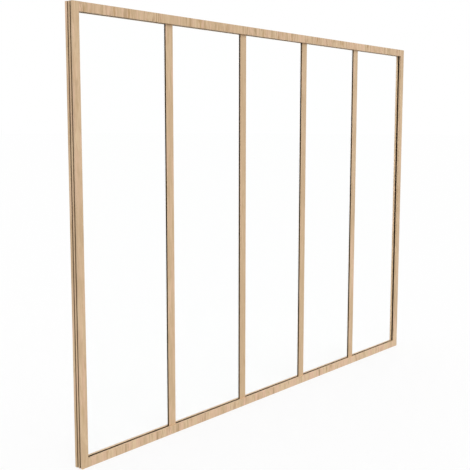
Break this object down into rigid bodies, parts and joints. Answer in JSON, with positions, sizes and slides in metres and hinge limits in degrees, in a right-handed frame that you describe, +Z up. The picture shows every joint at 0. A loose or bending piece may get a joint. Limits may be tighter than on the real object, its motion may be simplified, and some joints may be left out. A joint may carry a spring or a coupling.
{
  "type": "interior glass partition",
  "caption": "Fixed interior glass partition: a slim oak frame with mullions and tall clear panes, dark gaskets, and grooved outer sides for joining to the walls.",
  "frame": {"origin": "floor level, at the middle of the length and of the depth", "axes": "+X along the partition, -Y out of the front face, +Z up"},
  "size_m": [3.5, 0.058, 2.5],
  "materials": {
    "oak": "light oak with a matt clear lacquer, fine straight grain",
    "glass": "clear flat glass with polished faces",
    "gasket": "matt dark brown glazing rubber"
  },
  "bodies": {
    "root": {"stile_left": "oak", "stile_right": "oak", "bottom_rail": "oak", "head_rail": "oak", "mullion_1": "oak", "mullion_2": "oak", "mullion_3": "oak", "mullion_4": "oak", "mullion_cover_1": "oak", "mullion_cover_2": "oak", "mullion_cover_3": "oak", "mullion_cover_4": "oak", "glass_pane_1": "glass", "glass_pane_2": "glass", "glass_pane_3": "glass", "glass_pane_4": "glass", "glass_pane_5": "glass", "gasket_front_1": "gasket", "gasket_front_2": "gasket", "gasket_front_3": "gasket", "gasket_front_4": "gasket", "gasket_front_5": "gasket", "gasket_back_1": "gasket", "gasket_back_2": "gasket", "gasket_back_3": "gasket", "gasket_back_4": "gasket", "gasket_back_5": "gasket", "bead_bottom": "oak", "bead_head": "oak", "bead_left": "oak", "bead_right": "oak"}
  },
  "joints": []
}
